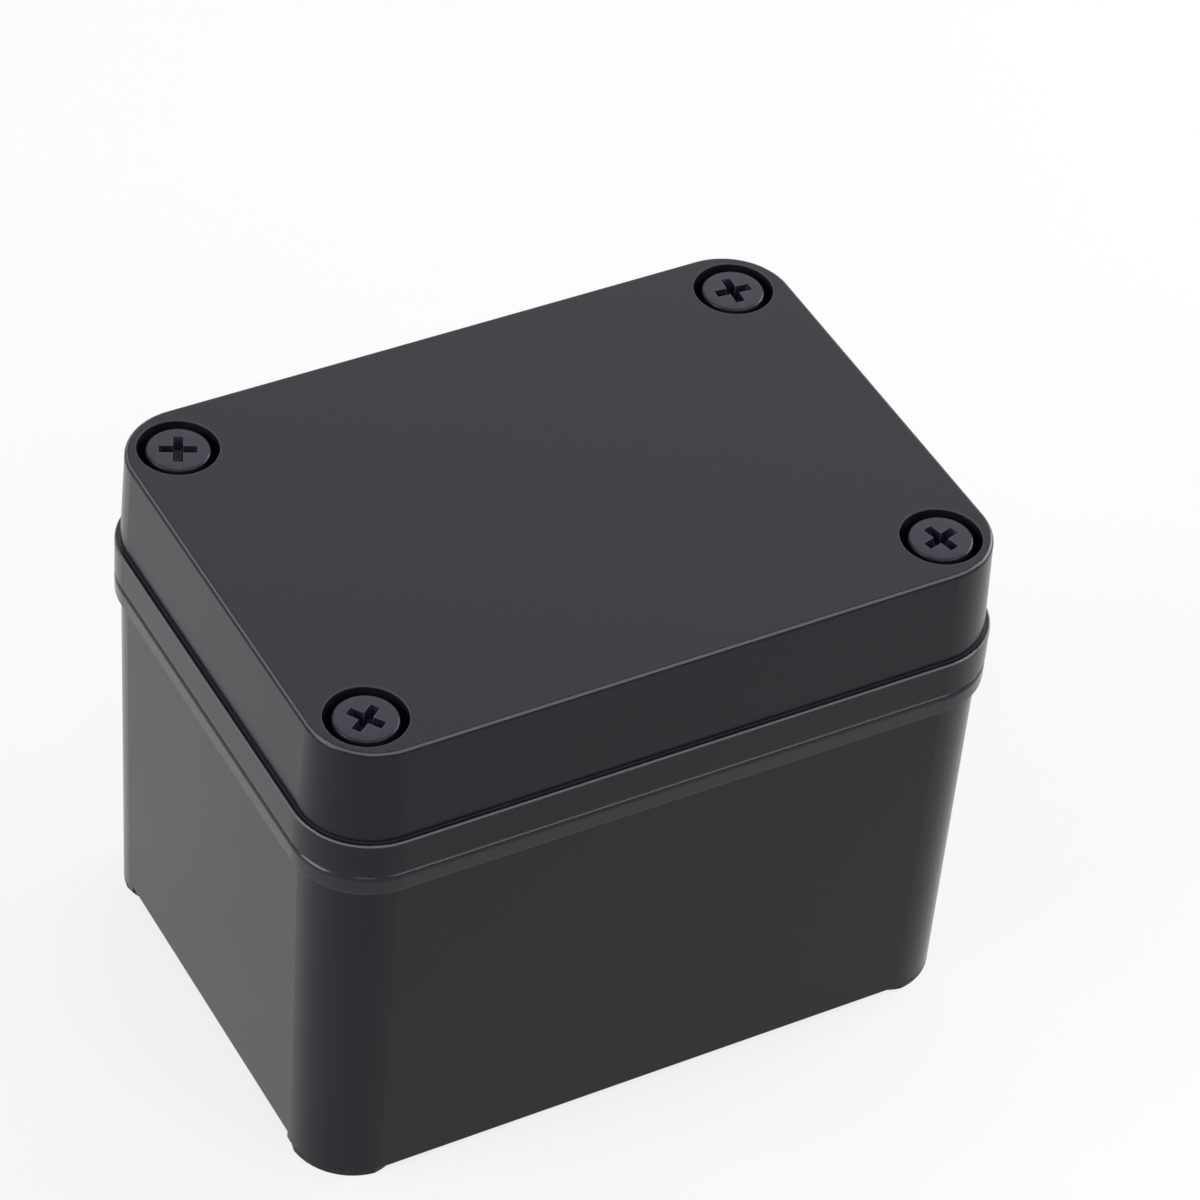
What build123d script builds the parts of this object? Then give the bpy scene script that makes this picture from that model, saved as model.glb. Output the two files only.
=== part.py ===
from build123d import *
import os
from math import radians, tan

os.makedirs("parts", exist_ok=True)

# A deep plastic project box: base, lid with its seal, mounting plate and screws.
# X runs along the long front side, Y to the back and Z up; the box stands on Z = 0.

# Case, outside
case_length = 110.0
case_width = 80.0
base_height = 63.0
lid_height = 22.0
corner_radius = 11.5
edge_radius = 1.0
fine_edge = 0.3

# Base walls
rim_height = 3.2
rim_step = 1.0
wall_draft = 0.65
opening_margin = 3.6
opening_corner = 1.2
cavity_draft = 0.9
floor_thickness = 3.9
foot_height = 0.6
relief_depth = 1.5
relief_foot_overlap = 4.9

# Raised lip that runs round the opening and into the lid
lip_thickness = 1.1
lip_height = 3.0
seal_clearance = 0.3

# Screw pillars in the corners
pillar_margin = 9.6
pillar_radius = 8.7
pocket_diameter = 12.0
base_pocket_depth = 5.5
thread_bore_depth = 14.0

# Lid
skirt_height = 6.0
skirt_step = 0.8
lid_edge_radius = 0.7
lid_draft = 2.0
lid_top_thickness = 3.0
lid_rib_thickness = 1.3
lid_pocket_depth = 7.5

# Gasket in the lid's channel
gasket_thickness = 1.6
gasket_gap = 0.1

# Lid screws
lid_screw_head_diameter = 9.4
lid_screw_head_height = 7.2
lid_screw_neck_diameter = 5.8
lid_screw_neck_length = 14.0
lid_screw_thread_diameter = 8.0
lid_screw_thread_length = 10.0
lid_screw_flat_depth = 0.9
lid_screw_end_chamfer = 0.8
lid_screw_first_turn = 35.0
lid_screw_turn_step = 70.0
screw_passage_clearance = 0.3
thread_fit = 0.1

# Mounting plate and the posts that carry it
plate_end_gap = 1.1
plate_side_gap = 1.9
plate_thickness = 2.5
plate_pillar_gap = 3.1
plate_tab_radius = 2.6
grid_pitch = 5.0
grid_opening = 2.5
grid_edge_margin = 3.5
grid_pillar_margin = 3.4
grid_screw_margin = 7.5
post_margin = 15.0
post_height = 12.0
post_diameter = 9.0

# Plate screws
plate_screw_head_diameter = 7.5
plate_screw_head_land = 0.2
plate_screw_cone_angle = 90.0
plate_screw_diameter = 4.0
plate_screw_length = 13.5
plate_screw_end_chamfer = 0.5
plate_screw_clearance = 0.2
countersink_clearance = 0.15

# Cross recesses in the screw heads
lid_recess_length = 5.6
lid_recess_width = 1.5
lid_recess_depth = 2.8
lid_recess_taper = 6.0
plate_recess_length = 4.4
plate_recess_width = 0.9
plate_recess_depth = 1.6
plate_recess_taper = 12.0

# Heights that follow
case_top = base_height + lid_height
floor_top = foot_height + floor_thickness
wall_top = base_height - rim_height
lip_top = base_height + lip_height
plate_bottom = floor_top + post_height
plate_top = plate_bottom + plate_thickness
head_seat = case_top - lid_pocket_depth
thread_top = head_seat - lid_screw_neck_length
thread_end = thread_top - lid_screw_thread_length
wall_inset = rim_step + (wall_top - foot_height) * tan(radians(wall_draft))
foot_radius = pillar_margin - wall_inset
cavity_inset = opening_margin + (lip_top - plate_bottom) * tan(radians(cavity_draft))
plate_length = case_length - 2 * (cavity_inset + plate_end_gap)
plate_width = case_width - 2 * (cavity_inset + plate_side_gap)

# Places that follow
pillar_x = case_length / 2 - pillar_margin
pillar_y = case_width / 2 - pillar_margin
pillar_places = {
    "front_left": (-pillar_x, -pillar_y),
    "front_right": (pillar_x, -pillar_y),
    "back_right": (pillar_x, pillar_y),
    "back_left": (-pillar_x, pillar_y),
}
post_x = case_length / 2 - post_margin
post_places = {"left": (-post_x, 0), "right": (post_x, 0)}


def opening_outline(grow):
    """The case opening, stepped round the four pillars and grown outwards by grow."""
    half_length = case_length / 2 - opening_margin + grow
    half_width = case_width / 2 - opening_margin + grow
    step_radius = pillar_radius - grow
    block_length = half_length - (pillar_x - step_radius)
    block_width = half_width - (pillar_y - step_radius)
    with BuildSketch() as outline:
        Rectangle(2 * half_length, 2 * half_width)
        with GridLocations(2 * half_length - block_length, 2 * half_width - block_width, 2, 2):
            Rectangle(block_length, block_width, mode=Mode.SUBTRACT)
        by_radius = outline.vertices().sort_by(lambda v: v.X**2 + v.Y**2)
        fillet(by_radius[:4], step_radius)
        fillet(outline.vertices().filter_by(
            lambda v: abs(v.X) > half_length - fine_edge or abs(v.Y) > half_width - fine_edge
        ), opening_corner)
    return outline.sketch


def cross_outline(length, width):
    """A plain cross, the mouth of a screw's driver recess."""
    with BuildSketch() as outline:
        Rectangle(length, width)
        Rectangle(width, length)
    return outline.sketch


def save(solid, name):
    """Writes one finished piece under its own name."""
    solid.label = name
    export_step(solid, "parts/" + name + ".step")


base_opening = opening_outline(0)
lip_outside = opening_outline(lip_thickness)
channel_outside = opening_outline(lip_thickness + seal_clearance)
channel_inside = opening_outline(-seal_clearance)
lid_opening = opening_outline(-seal_clearance - lid_rib_thickness)
gasket_outside = opening_outline(lip_thickness + seal_clearance - gasket_gap)
gasket_inside = opening_outline(gasket_gap - seal_clearance)

# Base shell: drafted walls, a proud rim band, the lip, corner pillars, posts and feet
with BuildPart() as base_shell:
    with BuildSketch(Plane.XY.offset(wall_top)):
        RectangleRounded(
            case_length - 2 * rim_step, case_width - 2 * rim_step, corner_radius - rim_step
        )
    extrude(amount=foot_height - wall_top, taper=wall_draft)
    fillet(base_shell.faces().sort_by(Axis.Z)[0].edges(), fine_edge)
    with BuildSketch(Plane.XY.offset(foot_height)):
        Rectangle(case_length, 2 * (pillar_y - foot_radius + relief_foot_overlap))
        with Locations(*pillar_places.values()):
            Circle(foot_radius, mode=Mode.SUBTRACT)
    extrude(amount=relief_depth, mode=Mode.SUBTRACT)
    with BuildSketch(Plane.XY.offset(foot_height)):
        with Locations(*pillar_places.values()):
            Circle(foot_radius)
        RectangleRounded(
            case_length - 2 * wall_inset, case_width - 2 * wall_inset, corner_radius - wall_inset,
            mode=Mode.INTERSECT,
        )
    extrude(amount=-foot_height)
    with BuildSketch(Plane.XY.offset(wall_top)):
        RectangleRounded(case_length, case_width, corner_radius)
    extrude(amount=rim_height)
    fillet(base_shell.faces().sort_by(Axis.Z)[-1].edges(), edge_radius)
    with BuildSketch(Plane.XY.offset(base_height)):
        add(lip_outside)
    extrude(amount=lip_height)
    with BuildSketch(Plane.XY.offset(lip_top)):
        add(base_opening)
    extrude(amount=floor_top - lip_top, taper=cavity_draft, mode=Mode.SUBTRACT)
    with BuildSketch(Plane.XY.offset(floor_top)):
        with Locations(*post_places.values()):
            Circle(post_diameter / 2)
    extrude(amount=post_height)
    with Locations(*[(x, y, base_height) for x, y in pillar_places.values()]):
        CounterBoreHole(
            radius=lid_screw_thread_diameter / 2 + thread_fit,
            counter_bore_radius=pocket_diameter / 2,
            counter_bore_depth=base_pocket_depth,
            depth=base_pocket_depth + thread_bore_depth,
        )
    with Locations(*[(x, y, plate_bottom) for x, y in post_places.values()]):
        Hole(radius=plate_screw_diameter / 2 + thread_fit, depth=post_height)

# Lid shell: upper wall over a proud skirt band, screw pockets, cavity and seal channel
with BuildPart() as lid_shell:
    with BuildSketch(Plane.XY.offset(base_height)):
        RectangleRounded(case_length, case_width, corner_radius)
    extrude(amount=skirt_height)
    fillet(lid_shell.faces().sort_by(Axis.Z)[0].edges(), fine_edge)
    fillet(lid_shell.faces().sort_by(Axis.Z)[-1].edges(), fine_edge)
    with BuildSketch(Plane.XY.offset(base_height + skirt_height)):
        RectangleRounded(
            case_length - 2 * skirt_step, case_width - 2 * skirt_step, corner_radius - skirt_step
        )
    extrude(amount=lid_height - skirt_height, taper=lid_draft)
    fillet(lid_shell.faces().sort_by(Axis.Z)[-1].edges(), lid_edge_radius)
    with BuildSketch(Plane.XY.offset(base_height)):
        add(lid_opening)
    extrude(amount=lid_height - lid_top_thickness, taper=cavity_draft, mode=Mode.SUBTRACT)
    with BuildSketch(Plane.XY.offset(base_height)):
        add(channel_outside)
        add(channel_inside, mode=Mode.SUBTRACT)
    extrude(amount=lip_height + gasket_thickness, mode=Mode.SUBTRACT)
    with Locations(*[(x, y, case_top) for x, y in pillar_places.values()]):
        CounterBoreHole(
            radius=lid_screw_thread_diameter / 2 + screw_passage_clearance,
            counter_bore_radius=pocket_diameter / 2,
            counter_bore_depth=lid_pocket_depth,
            depth=lid_height,
        )

# Gasket: a flat rubber ring at the root of the lid's channel, resting on the lip
with BuildPart() as lid_gasket:
    with BuildSketch(Plane.XY.offset(lip_top)):
        add(gasket_outside)
        add(gasket_inside, mode=Mode.SUBTRACT)
    extrude(amount=gasket_thickness)

# Mounting plate: corner notches, a grid of square openings and two countersunk holes
half_columns = int((plate_length / 2 - grid_edge_margin) // grid_pitch)
half_rows = int((plate_width / 2 - grid_edge_margin) // grid_pitch)
notch_radius = pillar_radius + plate_pillar_gap
grid_places = [
    (column * grid_pitch, row * grid_pitch)
    for column in range(-half_columns, half_columns + 1)
    for row in range(-half_rows, half_rows + 1)
    if (abs(column * grid_pitch) - post_x) ** 2 + (row * grid_pitch) ** 2 > grid_screw_margin**2
]
with BuildPart() as mounting_plate:
    with BuildSketch(Plane.XY.offset(plate_bottom)):
        Rectangle(plate_length, plate_width)
        with Locations(*pillar_places.values()):
            Circle(notch_radius, mode=Mode.SUBTRACT)
    extrude(amount=plate_thickness)
    fillet(mounting_plate.edges().filter_by(Axis.Z), plate_tab_radius)
    fillet(mounting_plate.faces().sort_by(Axis.Z)[-1].edges(), fine_edge)
    with BuildSketch(Plane.XY.offset(plate_bottom)):
        with Locations(*grid_places):
            Rectangle(grid_opening, grid_opening)
        Rectangle(
            2 * half_columns * grid_pitch, 2 * half_rows * grid_pitch, mode=Mode.INTERSECT
        )
        with Locations(*pillar_places.values()):
            Circle(notch_radius + grid_pillar_margin, mode=Mode.SUBTRACT)
    extrude(amount=plate_thickness, mode=Mode.SUBTRACT)
    with Locations(*[(x, y, plate_top) for x, y in post_places.values()]):
        CounterSinkHole(
            radius=plate_screw_diameter / 2 + plate_screw_clearance,
            counter_sink_radius=(
                plate_screw_head_diameter / 2 + plate_screw_head_land + countersink_clearance
            ),
            counter_sink_angle=plate_screw_cone_angle,
        )

save(base_shell.part, "base_shell")
save(lid_shell.part, "lid_shell")
save(lid_gasket.part, "lid_gasket")
save(mounting_plate.part, "mounting_plate")

# Lid screws: round head in the lid's pocket, thin neck, thick threaded end with a flat
lid_recess = cross_outline(lid_recess_length, lid_recess_width)
for turn, (corner, (x, y)) in enumerate(pillar_places.items()):
    flat_direction = Rotation(0, 0, lid_screw_first_turn + lid_screw_turn_step * turn)
    with BuildPart() as lid_screw:
        with BuildSketch(Plane.XY.offset(head_seat)):
            Circle(lid_screw_head_diameter / 2)
        extrude(amount=lid_screw_head_height)
        fillet(lid_screw.faces().sort_by(Axis.Z)[-1].edges(), fine_edge)
        with BuildSketch(Plane.XY.offset(thread_end)):
            Circle(lid_screw_thread_diameter / 2)
        extrude(amount=lid_screw_thread_length)
        chamfer(lid_screw.faces().sort_by(Axis.Z)[0].edges(), lid_screw_end_chamfer)
        with BuildSketch(Plane.XY.offset(thread_end)):
            with Locations((lid_screw_thread_diameter - lid_screw_flat_depth, 0)):
                Rectangle(lid_screw_thread_diameter, lid_screw_thread_diameter)
        extrude(amount=lid_screw_thread_length, mode=Mode.SUBTRACT)
        with BuildSketch(Plane.XY.offset(head_seat)):
            Circle(lid_screw_neck_diameter / 2)
        extrude(amount=-lid_screw_neck_length)
        with BuildSketch(Plane.XY.offset(head_seat + lid_screw_head_height)):
            add(lid_recess)
        extrude(amount=-lid_recess_depth, taper=lid_recess_taper, mode=Mode.SUBTRACT)
    save(Pos(x, y, 0) * flat_direction * lid_screw.part, "lid_screw_" + corner)

# Plate screws: countersunk heads flush with the plate, threaded into the posts
plate_recess = cross_outline(plate_recess_length, plate_recess_width)
head_cone = (plate_screw_head_diameter - plate_screw_diameter) / 2 / tan(
    radians(plate_screw_cone_angle / 2)
)
for side, (x, y) in post_places.items():
    with BuildPart() as plate_screw:
        with BuildSketch(Plane.XZ):
            with BuildLine():
                Polyline(
                    (0, plate_top),
                    (plate_screw_head_diameter / 2, plate_top),
                    (plate_screw_head_diameter / 2, plate_top - plate_screw_head_land),
                    (plate_screw_diameter / 2, plate_top - plate_screw_head_land - head_cone),
                    (plate_screw_diameter / 2, plate_top - plate_screw_length
                     + plate_screw_end_chamfer),
                    (plate_screw_diameter / 2 - plate_screw_end_chamfer,
                     plate_top - plate_screw_length),
                    (0, plate_top - plate_screw_length),
                    close=True,
                )
            make_face()
        revolve(axis=Axis.Z)
        with BuildSketch(Plane.XY.offset(plate_top)):
            add(plate_recess)
        extrude(amount=-plate_recess_depth, taper=plate_recess_taper, mode=Mode.SUBTRACT)
    save(Pos(x, y, 0) * plate_screw.part, "plate_screw_" + side)
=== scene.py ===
from math import cos, pi, radians, sin

import bmesh
import bpy
from mathutils import Matrix, Vector


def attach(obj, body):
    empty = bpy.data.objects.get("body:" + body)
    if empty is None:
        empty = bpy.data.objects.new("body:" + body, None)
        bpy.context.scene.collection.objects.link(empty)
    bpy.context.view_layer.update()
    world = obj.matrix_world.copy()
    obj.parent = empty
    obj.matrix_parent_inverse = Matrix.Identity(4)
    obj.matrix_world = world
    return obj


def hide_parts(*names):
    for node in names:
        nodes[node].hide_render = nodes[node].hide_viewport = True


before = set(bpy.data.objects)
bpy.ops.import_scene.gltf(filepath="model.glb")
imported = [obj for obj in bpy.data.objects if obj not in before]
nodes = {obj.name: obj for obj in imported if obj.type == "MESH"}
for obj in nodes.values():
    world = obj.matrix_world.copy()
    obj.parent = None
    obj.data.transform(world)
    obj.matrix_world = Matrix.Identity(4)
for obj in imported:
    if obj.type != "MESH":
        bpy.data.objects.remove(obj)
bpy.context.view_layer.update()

# Measures in millimetres, as the box is drawn; every mesh is scaled to metres at the end
MM = 0.001
PILLAR_X, PILLAR_Y = 45.4, 30.4
CORNERS = {
    "front_left": (-PILLAR_X, -PILLAR_Y),
    "front_right": (PILLAR_X, -PILLAR_Y),
    "back_right": (PILLAR_X, PILLAR_Y),
    "back_left": (-PILLAR_X, PILLAR_Y),
}
POST_X = 40.0

# How far the lid screws are turned, in degrees, from corner to corner
FIRST_TURN, TURN_STEP = 35, 70

# Steps of a full turn, the angle past which an edge stays sharp, and a hair's width
SEGMENTS = 56
SHARP_ANGLE = radians(32)
HAIR = 0.001

# Lid screw
HEAD_TOP, HEAD_SEAT = 84.7, 77.5
HEAD_RADIUS, NECK_RADIUS = 4.7, 2.9
THREAD_TOP, THREAD_END = 63.5, 53.5
THREAD_CREST, THREAD_ROOT, THREAD_PITCH = 4.0, 3.24, 1.25
THREAD_FLAT, THREAD_END_CHAMFER = 3.1, 0.8
THREAD_PHASE = 1.4
LID_RECESS = (5.6, 1.5, 2.8)

# Threaded bores of the pillars
BORE_RADIUS, POCKET_FLOOR = 4.1, 57.5
RIDGE_CREST = 3.44

# Plate screw
PLATE_TOP, PLATE_SCREW_END = 19.0, 5.5
PLATE_HEAD_RADIUS, CONE_DEPTH = 3.75, 2.15
PLATE_CREST, PLATE_ROOT, PLATE_PITCH, PLATE_END_CHAMFER = 2.0, 1.6, 0.7, 0.45
PLATE_RECESS = (4.4, 0.9, 1.6)

# How far from an edge its polish and its painted highlight reach
EDGE_REACH = 0.35

# Level bands of the mouldings, from height to height: painted highlights on the lid's top edge
# and ledge, a smooth coat on the rim band, and painted light on the flat faces of rim and lip
LID_TOP_EDGE, LEDGE_EDGE = (84.78, 84.96), (68.76, 68.99)
RIM_BAND, RIM_FACE, LIP_FACE = (59.8, 62.8), (62.9, 63.1), (65.9, 66.1)
# Heights and reach of the base's inside, which is painted lighter, standing in for light reaching
# in
INSIDE_CLEAR, INSIDE_FULL = 62.0, 52.0
INSIDE_X, INSIDE_Y, INSIDE_CORNER = 51.5, 36.5, 82.5


def piece(name, bm, body, material):
    """Turns a finished bmesh, drawn in millimetres, into a piece that rides on a body."""
    bmesh.ops.scale(bm, vec=(MM, MM, MM), verts=bm.verts)
    bmesh.ops.recalc_face_normals(bm, faces=bm.faces)
    mesh = bpy.data.meshes.new(name)
    bm.to_mesh(mesh)
    bm.free()
    made = bpy.data.objects.new(name, mesh)
    bpy.context.scene.collection.objects.link(made)
    mesh.materials.append(material)
    mesh.shade_smooth()
    mesh.set_sharp_from_angle(angle=SHARP_ANGLE)
    even = made.modifiers.new("even_normals", "WEIGHTED_NORMAL")
    even.keep_sharp = True
    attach(made, body)
    return made


# Shader groups

def new_group(name, inputs, outputs):
    """An empty shader group with its named sockets."""
    group = bpy.data.node_groups.new(name, "ShaderNodeTree")
    for label, kind, value in inputs:
        socket = group.interface.new_socket(name=label, in_out="INPUT", socket_type=kind)
        if value is not None:
            socket.default_value = value
    for label, kind in outputs:
        group.interface.new_socket(name=label, in_out="OUTPUT", socket_type=kind)
    return group, group.nodes.new("NodeGroupInput"), group.nodes.new("NodeGroupOutput")


def place(tree, kind, **settings):
    """A node of one kind, with its properties set."""
    node = tree.nodes.new(kind)
    for key, value in settings.items():
        setattr(node, key, value)
    return node


def maths(tree, operation, first, second=None, third=None, clamp=False):
    """A Math node fed by sockets or numbers; returns its output."""
    node = place(tree, "ShaderNodeMath", operation=operation, use_clamp=clamp)
    for socket, value in zip(node.inputs, (first, second, third)):
        if value is None:
            continue
        if isinstance(value, (int, float)):
            socket.default_value = value
        else:
            tree.links.new(value, socket)
    return node.outputs[0]


def blend(tree, factor, first, second):
    """A colour mix by a mask; each colour is a socket or an RGB value."""
    node = place(tree, "ShaderNodeMix", data_type="RGBA")
    tree.links.new(factor, node.inputs["Factor"])
    for label, colour in (("A", first), ("B", second)):
        if isinstance(colour, tuple):
            node.inputs[label].default_value = (*colour, 1)
        else:
            tree.links.new(colour, node.inputs[label])
    return node.outputs["Result"]


def remap(tree, value, source, target=(0.0, 1.0)):
    """A clamped Map Range from one pair of values to another."""
    node = place(tree, "ShaderNodeMapRange")
    tree.links.new(value, node.inputs["Value"])
    for label, number in zip(("From Min", "From Max", "To Min", "To Max"), (*source, *target)):
        node.inputs[label].default_value = number
    return node.outputs["Result"]


def object_space(tree):
    """The coordinates of the object itself."""
    return place(tree, "ShaderNodeTexCoord").outputs["Object"]


def place_group(tree, group, values=None):
    """A shader group on the object's own coordinates, with its values set."""
    node = place(tree, "ShaderNodeGroup", node_tree=group)
    tree.links.new(object_space(tree), node.inputs["Vector"])
    for label, value in (values or {}).items():
        node.inputs[label].default_value = value
    return node


def add_bump(tree, height, strength, distance):
    """Relief on a material's own shader."""
    bump = place(tree, "ShaderNodeBump")
    bump.inputs["Strength"].default_value = strength
    bump.inputs["Distance"].default_value = distance
    tree.links.new(height, bump.inputs["Height"])
    tree.links.new(bump.outputs["Normal"], tree.nodes["Principled BSDF"].inputs["Normal"])


def new_material(name):
    """A material with its node tree and its Principled shader."""
    material = bpy.data.materials.new(name)
    material.use_nodes = True
    return material, material.node_tree, material.node_tree.nodes["Principled BSDF"]


def noise(tree, vector, scale, detail=2.0, roughness=0.5):
    """Noise on the given coordinates; returns its factor."""
    node = place(tree, "ShaderNodeTexNoise")
    tree.links.new(vector, node.inputs["Vector"])
    if isinstance(scale, float):
        node.inputs["Scale"].default_value = scale
    else:
        tree.links.new(scale, node.inputs["Scale"])
    node.inputs["Detail"].default_value = detail
    node.inputs["Roughness"].default_value = roughness
    return node.outputs["Fac"]


def make_grain_group():
    """Fine moulded grain over slow flow marks."""
    group, given, out = new_group(
        "moulded_grain",
        [("Vector", "NodeSocketVector", None), ("Grain Scale", "NodeSocketFloat", 2600.0),
         ("Flow Scale", "NodeSocketFloat", 38.0)],
        [("Height", "NodeSocketFloat"), ("Flow", "NodeSocketFloat")],
    )
    grain = noise(group, given.outputs["Vector"], given.outputs["Grain Scale"], 1.5)
    flow = noise(group, given.outputs["Vector"], given.outputs["Flow Scale"], 3.0, 0.55)
    group.links.new(grain, out.inputs["Height"])
    group.links.new(flow, out.inputs["Flow"])
    return group


def make_edge_group():
    """A mask that rises on sharp edges, where handling polishes a moulding and where a lighter
    colour is painted as a highlight.
    """
    group, given, out = new_group(
        "edge_polish_and_highlight",
        [("Vector", "NodeSocketVector", None), ("Strength", "NodeSocketFloat", 1.0)],
        [("Edge", "NodeSocketFloat")],
    )
    bevel = place(group, "ShaderNodeBevel", samples=6)
    bevel.inputs["Radius"].default_value = EDGE_REACH * MM
    normal = place(group, "ShaderNodeNewGeometry")
    dot = place(group, "ShaderNodeVectorMath", operation="DOT_PRODUCT")
    group.links.new(bevel.outputs["Normal"], dot.inputs[0])
    group.links.new(normal.outputs["Normal"], dot.inputs[1])
    turned = maths(group, "SUBTRACT", 1.0, dot.outputs["Value"])
    patchy = noise(group, given.outputs["Vector"], 420.0, 3.0, 0.6)
    raised = maths(group, "MULTIPLY", turned, maths(group, "MULTIPLY", patchy, 9.0))
    edge = maths(group, "MULTIPLY", raised, given.outputs["Strength"], clamp=True)
    group.links.new(edge, out.inputs["Edge"])
    return group


def make_band_group():
    """A mask that is 1 between two heights in metres, for level edges and faces."""
    group, given, out = new_group(
        "height_band",
        [("Vector", "NodeSocketVector", None), ("Low", "NodeSocketFloat", 0.0),
         ("High", "NodeSocketFloat", 1.0)],
        [("Band", "NodeSocketFloat")],
    )
    split = place(group, "ShaderNodeSeparateXYZ")
    group.links.new(given.outputs["Vector"], split.inputs["Vector"])
    above = maths(group, "GREATER_THAN", split.outputs["Z"], given.outputs["Low"])
    below = maths(group, "LESS_THAN", split.outputs["Z"], given.outputs["High"])
    group.links.new(maths(group, "MULTIPLY", above, below), out.inputs["Band"])
    return group


grain_group = make_grain_group()
edge_group = make_edge_group()
band_group = make_band_group()


def moulding(name, colour, edge_colour, roughness, specular, spread=0.06, grain=0.02):
    """A moulded plastic with fine grain, slow tone changes, and slightly polished edges that are
    also painted lighter as a highlight.
    """
    material, tree, shader = new_material(name)
    marks = place_group(tree, grain_group, {"Grain Scale": 2600.0})
    polish_and_highlight = place_group(tree, edge_group).outputs["Edge"]
    darker, lighter = (
        tuple(c * (1 + sign * spread) for c in colour) for sign in (-1, 1))
    tone = blend(tree, marks.outputs["Flow"], darker, lighter)
    # Edges get the edge colour: partly wear, partly a painted highlight
    tree.links.new(blend(tree, polish_and_highlight, tone, edge_colour), shader.inputs["Base Color"])
    rough = maths(tree, "MULTIPLY_ADD", marks.outputs["Flow"], 0.10, roughness - 0.05)
    smoother = maths(tree, "MULTIPLY", polish_and_highlight, 0.10)
    tree.links.new(maths(tree, "SUBTRACT", rough, smoother), shader.inputs["Roughness"])
    add_bump(tree, marks.outputs["Height"], 0.35, grain * MM)
    shader.inputs["Specular IOR Level"].default_value = specular
    return material


def level_band(tree, heights):
    """1 between two heights in millimetres, and 0 elsewhere."""
    low, high = heights
    return place_group(tree, band_group, {"Low": low * MM, "High": high * MM}).outputs["Band"]


def tint_where(tree, mask, colour):
    """Mixes another colour into a moulding where the mask is 1."""
    skin = tree.nodes["Principled BSDF"].inputs["Base Color"]
    tree.links.new(blend(tree, mask, skin.links[0].from_socket, colour), skin)


def paint_lid_highlights(material):
    """The lid's painted highlights: a lighter colour on its top edge and on the ledge of its
    skirt band.
    """
    tree = material.node_tree
    # Painted highlights: both level bands are coloured lighter than the black, standing in for
    # light caught on these edges
    tint_where(tree, level_band(tree, LID_TOP_EDGE), (0.090, 0.089, 0.094))
    tint_where(tree, level_band(tree, LEDGE_EDGE), (0.115, 0.114, 0.119))


def coat_base_and_paint_light(material):
    """The base's coat and painted light: a smooth coat on the rim band, painted light on the flat
    faces of rim and lip, and a painted lighter inside.
    """
    tree = material.node_tree
    shader = tree.nodes["Principled BSDF"]
    smooth = maths(tree, "MULTIPLY", level_band(tree, RIM_BAND), 0.26)
    tree.links.new(smooth, shader.inputs["Coat Weight"])
    shader.inputs["Coat Roughness"].default_value = 0.15
    # Painted light: the flat faces of the rim and the lip are coloured lighter than the black,
    # standing in for light on these top faces
    for face in (RIM_FACE, LIP_FACE):
        tint_where(tree, level_band(tree, face), (0.058, 0.058, 0.062))
    # Painted light: the inside below the rim is coloured lighter, fading in downwards, standing
    # in for light reaching in
    split = place(tree, "ShaderNodeSeparateXYZ")
    tree.links.new(object_space(tree), split.inputs["Vector"])
    across = maths(tree, "ABSOLUTE", split.outputs["X"])
    along = maths(tree, "ABSOLUTE", split.outputs["Y"])
    corner = maths(tree, "ADD", across, along)
    mask = remap(tree, split.outputs["Z"], (INSIDE_CLEAR * MM, INSIDE_FULL * MM))
    for distance, reach in ((across, INSIDE_X), (along, INSIDE_Y), (corner, INSIDE_CORNER)):
        mask = maths(tree, "MULTIPLY", mask, maths(tree, "LESS_THAN", distance, reach * MM))
    tint_where(tree, mask, (0.076, 0.077, 0.086))


def plated_steel(name):
    """Bright zinc-plated steel with a light drawn grain."""
    material, tree, shader = new_material(name)
    marks = place_group(tree, grain_group, {"Grain Scale": 5200.0, "Flow Scale": 260.0})
    tone = blend(tree, marks.outputs["Flow"], (0.54, 0.54, 0.55), (0.72, 0.72, 0.72))
    tree.links.new(tone, shader.inputs["Base Color"])
    shader.inputs["Metallic"].default_value = 1.0
    rough = maths(tree, "MULTIPLY_ADD", marks.outputs["Height"], 0.16, 0.18)
    tree.links.new(rough, shader.inputs["Roughness"])
    add_bump(tree, marks.outputs["Height"], 0.25, 0.01 * MM)
    return material


# The edge colour, far lighter than the black, is partly wear and partly a painted highlight
CASE_FINISH = dict(
    colour=(0.0092, 0.0083, 0.0136), edge_colour=(0.060, 0.058, 0.066),
    roughness=0.22, specular=0.18)
black_lid = moulding("black_lid", **CASE_FINISH)
black_base = moulding("black_base", **CASE_FINISH)
paint_lid_highlights(black_lid)
coat_base_and_paint_light(black_base)
# Painted highlight: the bores' thread ridges are coloured much lighter than the black, standing
# in for the glints on them
black_thread_painted_highlight = moulding(
    "black_thread_painted_highlight", colour=(0.150, 0.150, 0.155), edge_colour=(0.200, 0.200, 0.205),
    roughness=0.22, specular=0.35)
grey_plate = moulding(
    "grey_plate", colour=(0.80, 0.80, 0.793), edge_colour=(0.83, 0.83, 0.82),
    roughness=0.50, specular=0.35, spread=0.015)
black_screw = moulding(
    "black_screw", colour=(0.0100, 0.0115, 0.0215), edge_colour=(0.060, 0.064, 0.082),
    roughness=0.28, specular=0.25)
seal_rubber = moulding(
    "seal_rubber", colour=(0.028, 0.028, 0.028), edge_colour=(0.036, 0.036, 0.036),
    roughness=0.70, specular=0.3, grain=0.03)
screw_steel = plated_steel("screw_steel")

for name, material in (
    ("base_shell", black_base), ("lid_shell", black_lid),
    ("lid_gasket", seal_rubber), ("mounting_plate", grey_plate),
):
    mesh = nodes[name].data
    mesh.materials.clear()
    mesh.materials.append(material)


# Screws and threads

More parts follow.
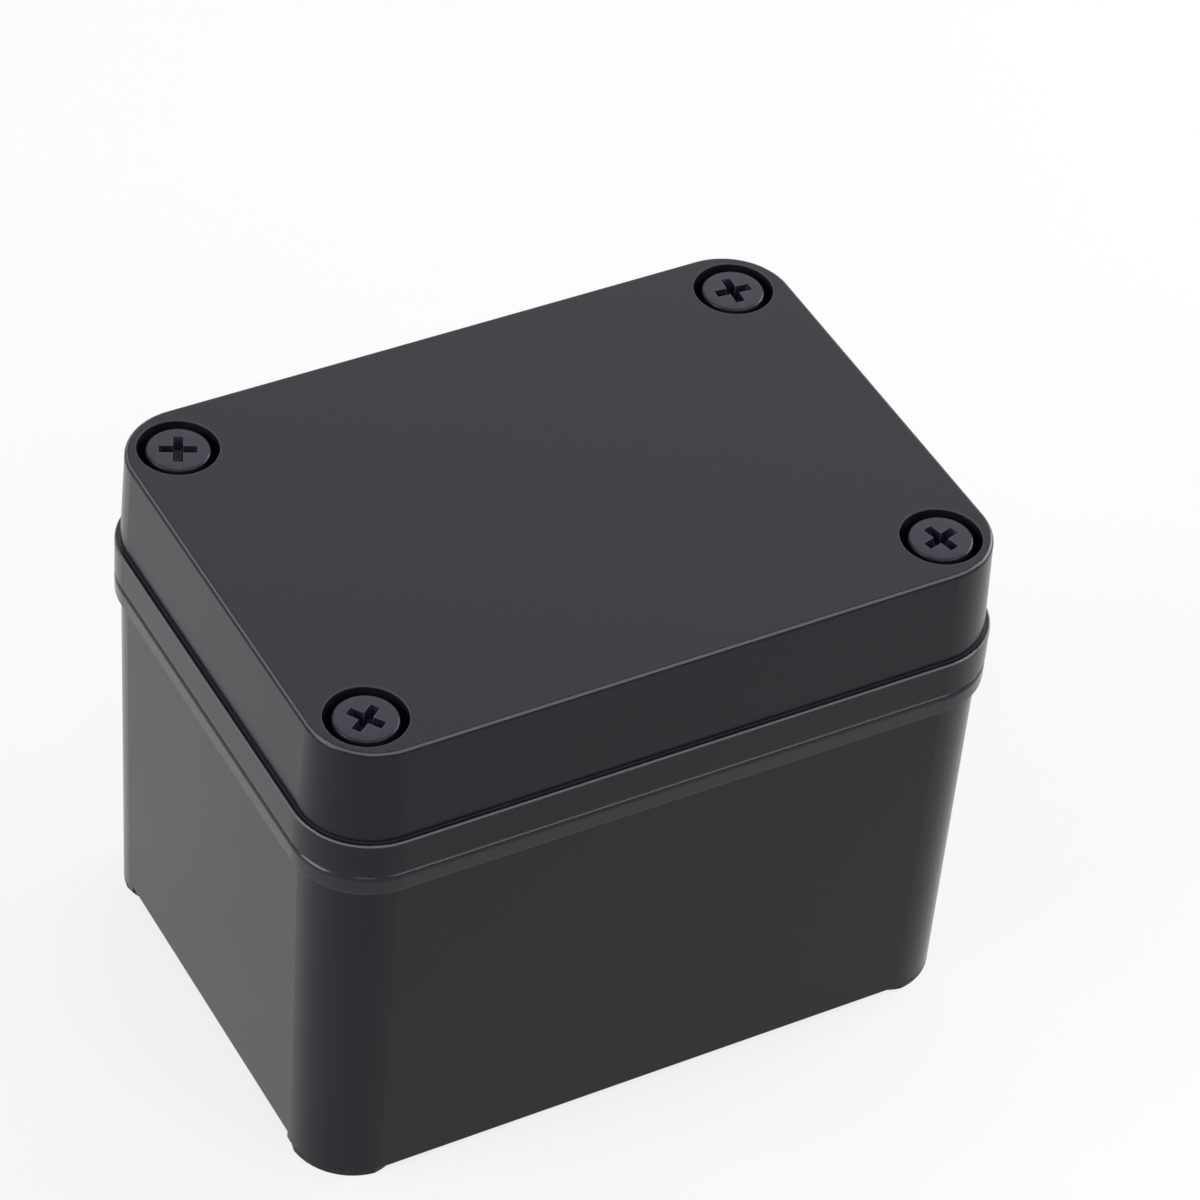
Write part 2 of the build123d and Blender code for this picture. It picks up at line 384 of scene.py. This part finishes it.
def edges_on(bm, axis, value):
    """The open edges that lie in one plane across an axis."""
    return [
        edge for edge in bm.edges
        if edge.is_boundary and all(abs(v.co[axis] - value) < HAIR for v in edge.verts)
    ]


def cut(bm, point, normal):
    """Cuts the whole mesh by a plane and clears what lies in front of it."""
    bmesh.ops.bisect_plane(
        bm, geom=bm.verts[:] + bm.edges[:] + bm.faces[:], dist=0.00001,
        plane_co=point, plane_no=normal, clear_outer=True)


def add_thread(bm, crest, root, pitch, top, end, chamfer, flat=None):
    """A helical thread between two heights, chamfered at its end, with a flat if one is asked."""
    rows = ((root, 0.0), (root, 0.11), (crest - 0.05, 0.40), (crest, 0.45), (crest, 0.55),
            (crest - 0.05, 0.60), (root, 0.89), (root, 1.0))
    line = [
        bm.verts.new((radius, 0, end + (part - THREAD_PHASE) * pitch)) for radius, part in rows
    ]
    edges = [bm.edges.new(pair) for pair in zip(line, line[1:])]
    bmesh.ops.spin(
        bm, geom=line + edges, cent=(0, 0, 0), axis=(0, 0, 1),
        dvec=(0, 0, pitch / SEGMENTS), angle=2 * pi, steps=SEGMENTS,
        use_merge=False, use_duplicate=False)
    one_turn = bm.verts[:] + bm.edges[:] + bm.faces[:]
    for count in range(1, int((top - end) / pitch) + 3):
        copied = bmesh.ops.duplicate(bm, geom=one_turn)["geom"]
        verts = [item for item in copied if isinstance(item, bmesh.types.BMVert)]
        bmesh.ops.translate(bm, vec=(0, 0, count * pitch), verts=verts)
    bmesh.ops.remove_doubles(bm, verts=bm.verts, dist=0.0005)
    cut(bm, (0, 0, top), (0, 0, 1))
    cut(bm, (0, 0, end), (0, 0, -1))
    for vert in bm.verts:
        radius = Vector((vert.co.x, vert.co.y)).length
        most = crest - chamfer + (vert.co.z - end)
        if radius > most:
            vert.co.x *= most / radius
            vert.co.y *= most / radius
    bmesh.ops.contextual_create(bm, geom=edges_on(bm, 2, end))
    bmesh.ops.contextual_create(bm, geom=edges_on(bm, 2, top))
    if flat:
        cut(bm, (flat, 0, 0), (1, 0, 0))
        bmesh.ops.contextual_create(bm, geom=edges_on(bm, 0, flat))
    caps = [face for face in bm.faces if all(abs(v.co.z - top) < HAIR for v in face.verts)]
    bmesh.ops.delete(bm, geom=caps, context="FACES")


def add_head(bm, stations, length, width, depth):
    """A head with a cross recess, turned down through (radius, height) stations."""
    top = stations[0][1]
    grid = bmesh.ops.create_grid(bm, x_segments=3, y_segments=3, size=1.5)["verts"]
    for vert in grid:
        for axis in (0, 1):
            reach = length if abs(vert.co[axis]) > 1 else width
            vert.co[axis] = reach / 2 * (1 if vert.co[axis] > 0 else -1)
        vert.co.z = top
    faces = list({face for vert in grid for face in vert.link_faces})
    corners = [
        face for face in faces
        if min(abs(face.calc_center_median().x), abs(face.calc_center_median().y)) > width / 2
    ]
    bmesh.ops.delete(bm, geom=corners, context="FACES")
    cross = [face for face in faces if face.is_valid]
    floor = bmesh.ops.extrude_face_region(bm, geom=cross)["geom"]
    bmesh.ops.delete(bm, geom=cross, context="FACES")
    floor_verts = [item for item in floor if isinstance(item, bmesh.types.BMVert)]
    bmesh.ops.translate(bm, vec=(0, 0, -depth * 0.7), verts=floor_verts)
    bmesh.ops.scale(bm, vec=(0.7, 0.7, 1), verts=floor_verts)
    middle = [v for v in floor_verts if max(abs(v.co.x), abs(v.co.y)) < width * 0.6]
    bmesh.ops.translate(bm, vec=(0, 0, -depth * 0.3), verts=middle)
    mouth = edges_on(bm, 2, top)
    ring = bmesh.ops.create_circle(
        bm, segments=SEGMENTS, radius=stations[0][0], matrix=Matrix.Translation((0, 0, top))
    )["verts"]
    edges = list({edge for vert in ring for edge in vert.link_edges})
    bmesh.ops.triangle_fill(bm, edges=mouth + edges, use_beauty=True, normal=(0, 0, 1))
    for (last, _), (radius, height) in zip(stations, stations[1:]):
        step = bmesh.ops.extrude_edge_only(bm, edges=edges)["geom"]
        verts = [item for item in step if isinstance(item, bmesh.types.BMVert)]
        edges = [item for item in step if isinstance(item, bmesh.types.BMEdge)]
        bmesh.ops.scale(bm, vec=(radius / last, radius / last, 1), verts=verts)
        bmesh.ops.translate(bm, vec=(0, 0, height - verts[0].co.z), verts=verts)


def rounded(radius, height, size, steps=4):
    """Stations of a quarter round from a flat top into a straight side."""
    return [
        (radius - size + size * sin(pi / 2 * i / steps),
         height - size + size * cos(pi / 2 * i / steps))
        for i in range(steps + 1)
    ]


def join(bm, other):
    """Adds another bmesh to this one, and frees it."""
    spare = bpy.data.meshes.new("spare")
    other.to_mesh(spare)
    other.free()
    bm.from_mesh(spare)
    bpy.data.meshes.remove(spare)


def screw_mesh(stations, recess, thread):
    """A whole screw: head and neck from stations, and its thread."""
    bm = bmesh.new()
    add_thread(bm, **thread)
    head = bmesh.new()
    add_head(head, stations, *recess)
    join(bm, head)
    ring = edges_on(bm, 2, stations[-1][1]) + edges_on(bm, 2, thread["top"])
    bmesh.ops.bridge_loops(bm, edges=list(set(ring)))
    return bm


def corner_places():
    """Each corner's name, with the matrix that turns and moves a screw there from the Z axis."""
    for count, (corner, (x, y)) in enumerate(CORNERS.items()):
        turn = Matrix.Rotation(radians(FIRST_TURN + TURN_STEP * count), 4, "Z")
        yield corner, Matrix.Translation((x, y, 0)) @ turn


lid_stations = rounded(HEAD_RADIUS, HEAD_TOP, 0.4) + [
    (HEAD_RADIUS, HEAD_SEAT + 0.35), (HEAD_RADIUS - 0.35, HEAD_SEAT),
    (NECK_RADIUS + 0.15, HEAD_SEAT), (NECK_RADIUS, HEAD_SEAT - 0.15),
    (NECK_RADIUS, THREAD_TOP + 0.05),
]
lid_screw = screw_mesh(
    lid_stations, LID_RECESS,
    dict(crest=THREAD_CREST, root=THREAD_ROOT, pitch=THREAD_PITCH, top=THREAD_TOP,
         end=THREAD_END, chamfer=THREAD_END_CHAMFER, flat=THREAD_FLAT))
for corner, matrix in corner_places():
    bm = lid_screw.copy()
    bmesh.ops.transform(bm, matrix=matrix, verts=bm.verts)
    name = "lid_screw_" + corner
    screw = piece(name + "_threaded", bm, name, black_screw)
    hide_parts(name)
lid_screw.free()

ridge = bmesh.new()
ridge_start = THREAD_END - (THREAD_PHASE + 5) * THREAD_PITCH
ridge_steps = int(SEGMENTS * (POCKET_FLOOR - 0.5 - ridge_start) / THREAD_PITCH)
ridge_rows = ((BORE_RADIUS + 0.05, -0.33), (RIDGE_CREST, -0.11),
              (RIDGE_CREST, 0.11), (BORE_RADIUS + 0.05, 0.33))
face = ridge.faces.new([
    ridge.verts.new((radius, 0, ridge_start + part * THREAD_PITCH)) for radius, part in ridge_rows
])
bmesh.ops.spin(
    ridge, geom=[face] + face.edges[:] + face.verts[:], cent=(0, 0, 0), axis=(0, 0, 1),
    dvec=(0, 0, THREAD_PITCH / SEGMENTS), angle=2 * pi * ridge_steps / SEGMENTS,
    steps=ridge_steps, use_merge=False, use_duplicate=False)
ridges = bmesh.new()
for _, matrix in corner_places():
    bm = ridge.copy()
    bmesh.ops.transform(bm, matrix=matrix, verts=bm.verts)
    join(ridges, bm)
ridge.free()
piece("pillar_threads", ridges, "base", black_thread_painted_highlight)

plate_stations = [
    (PLATE_HEAD_RADIUS - 0.10, PLATE_TOP), (PLATE_HEAD_RADIUS - 0.03, PLATE_TOP - 0.03),
    (PLATE_HEAD_RADIUS, PLATE_TOP - 0.10), (PLATE_HEAD_RADIUS, PLATE_TOP - 0.20),
    (PLATE_CREST + 0.02, PLATE_TOP - 1.93), (PLATE_CREST - 0.10, PLATE_TOP - CONE_DEPTH),
]
plate_screw = screw_mesh(
    plate_stations, PLATE_RECESS,
    dict(crest=PLATE_CREST, root=PLATE_ROOT, pitch=PLATE_PITCH, top=PLATE_TOP - CONE_DEPTH - 0.05,
         end=PLATE_SCREW_END, chamfer=PLATE_END_CHAMFER))
for side, x in (("left", -POST_X), ("right", POST_X)):
    bm = plate_screw.copy()
    bmesh.ops.translate(bm, vec=(x, 0, 0), verts=bm.verts)
    name = "plate_screw_" + side
    screw = piece(name + "_threaded", bm, name, screw_steel)
    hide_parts(name)
plate_screw.free()


# Floor, light and camera, in metres

FLOOR_REACH, FLOOR_GAP = 6.0, 0.0001
FLOOR_BOUNCE, FLOOR_SEEN = (0.32, 0.32, 0.32), (0.70, 0.70, 0.70)
FLOOR_GLOW, FLOOR_FADE = 0.77, (0.5, 2.5)
AMBIENT, MIRRORED_WHITE = 0.38, 0.8
LIGHT_AIM = (0, 0, 0.04)
LAMPS = {  # place, width, height and power
    "left_light": ((-0.95, 0.05, 0.46), 0.64, 0.54, 7.8),
    "right_light": ((0.95, 0.02, 0.44), 0.8, 0.6, 10.5),
    "front_light": ((-0.42, -0.86, 0.84), 0.5, 0.5, 1.6),
    "edge_light": ((0.40, -0.88, 0.80), 0.6, 0.4, 3.0),
    "back_light": ((0.45, 0.80, 1.00), 1.0, 1.0, 3.5),
}
CAMERA_PLACE = (-0.2847, -0.4793, 0.5684)
CAMERA_TURN, CAMERA_TILT, CAMERA_ROLL = radians(31.45), radians(42.08), radians(5.11)
FOCAL_PIXELS, FRAME_PIXELS, SENSOR_WIDTH = 5190, 1200, 36.0


def seen_directly(tree):
    """1 for camera, mirror and clear rays, which see the pale background, and 0 for the rest."""
    path = place(tree, "ShaderNodeLightPath")
    mirror = maths(tree, "MAXIMUM", path.outputs["Is Glossy Ray"],
                   path.outputs["Is Transmission Ray"])
    return maths(tree, "MAXIMUM", path.outputs["Is Camera Ray"], mirror)


def stage_material(name):
    """A pale floor that keeps the object's shadow and runs out into plain white."""
    material, tree, shader = new_material(name)
    shader.inputs["Roughness"].default_value = 0.9
    shader.inputs["Specular IOR Level"].default_value = 0.1
    glow = place(tree, "ShaderNodeEmission")
    share = place(tree, "ShaderNodeMixShader")
    direct = seen_directly(tree)
    colour = blend(tree, direct, FLOOR_BOUNCE, FLOOR_SEEN)
    tree.links.new(colour, shader.inputs["Base Color"])
    distance = place(tree, "ShaderNodeVectorMath", operation="LENGTH")
    tree.links.new(object_space(tree), distance.inputs[0])
    lift = remap(tree, distance.outputs["Value"], FLOOR_FADE, (FLOOR_GLOW, 1.0))
    tree.links.new(maths(tree, "MULTIPLY", direct, lift), share.inputs["Fac"])
    tree.links.new(shader.outputs["BSDF"], share.inputs[1])
    tree.links.new(glow.outputs["Emission"], share.inputs[2])
    tree.links.new(share.outputs["Shader"], tree.nodes["Material Output"].inputs["Surface"])
    return material


bm = bmesh.new()
bmesh.ops.create_grid(bm, x_segments=1, y_segments=1, size=FLOOR_REACH)
bmesh.ops.translate(bm, vec=(0, 0, -FLOOR_GAP), verts=bm.verts)
floor_mesh = bpy.data.meshes.new("floor")
bm.to_mesh(floor_mesh)
bm.free()
floor = bpy.data.objects.new("floor", floor_mesh)
bpy.context.scene.collection.objects.link(floor)
floor_mesh.materials.append(stage_material("pale_floor"))

world = bpy.data.worlds.new("studio")
bpy.context.scene.world = world
world.use_nodes = True
tree = world.node_tree
ambient = tree.nodes["Background"]
ambient.inputs["Color"].default_value = (1, 1, 1, 1)
ambient.inputs["Strength"].default_value = AMBIENT
white = place(tree, "ShaderNodeBackground")
white.inputs["Color"].default_value = (1, 1, 1, 1)
path = place(tree, "ShaderNodeLightPath")
strength = maths(
    tree, "MULTIPLY_ADD", path.outputs["Is Camera Ray"], 1 - MIRRORED_WHITE, MIRRORED_WHITE)
tree.links.new(strength, white.inputs["Strength"])
share = place(tree, "ShaderNodeMixShader")
tree.links.new(seen_directly(tree), share.inputs["Fac"])
tree.links.new(ambient.outputs["Background"], share.inputs[1])
tree.links.new(white.outputs["Background"], share.inputs[2])
tree.links.new(share.outputs["Shader"], tree.nodes["World Output"].inputs["Surface"])


def softbox(name, location, width, height, power):
    """A soft rectangular lamp that looks at the object's middle."""
    light = bpy.data.lights.new(name, "AREA")
    light.shape = "RECTANGLE"
    light.size, light.size_y = width, height
    light.energy = power
    lamp = bpy.data.objects.new(name, light)
    bpy.context.scene.collection.objects.link(lamp)
    lamp.location = location
    aim = Vector(LIGHT_AIM) - Vector(location)
    lamp.rotation_euler = aim.to_track_quat("-Z", "Y").to_euler()


for name, values in LAMPS.items():
    softbox(name, *values)

ahead = Vector((
    sin(CAMERA_TURN) * cos(CAMERA_TILT), cos(CAMERA_TURN) * cos(CAMERA_TILT), -sin(CAMERA_TILT)))
level = ahead.cross(Vector((0, 0, 1))).normalized()
upright = level.cross(ahead)
right = cos(CAMERA_ROLL) * level + sin(CAMERA_ROLL) * upright
up = right.cross(ahead)
lens = bpy.data.cameras.new("camera")
lens.sensor_width = SENSOR_WIDTH
lens.lens = FOCAL_PIXELS / FRAME_PIXELS * SENSOR_WIDTH
lens.clip_start, lens.clip_end = 0.05, 50.0
camera = bpy.data.objects.new("camera", lens)
bpy.context.scene.collection.objects.link(camera)
turn = Matrix((right, up, -ahead)).transposed().to_4x4()
camera.matrix_world = Matrix.Translation(CAMERA_PLACE) @ turn
bpy.context.scene.camera = camera
bpy.context.scene.view_settings.view_transform = "Standard"
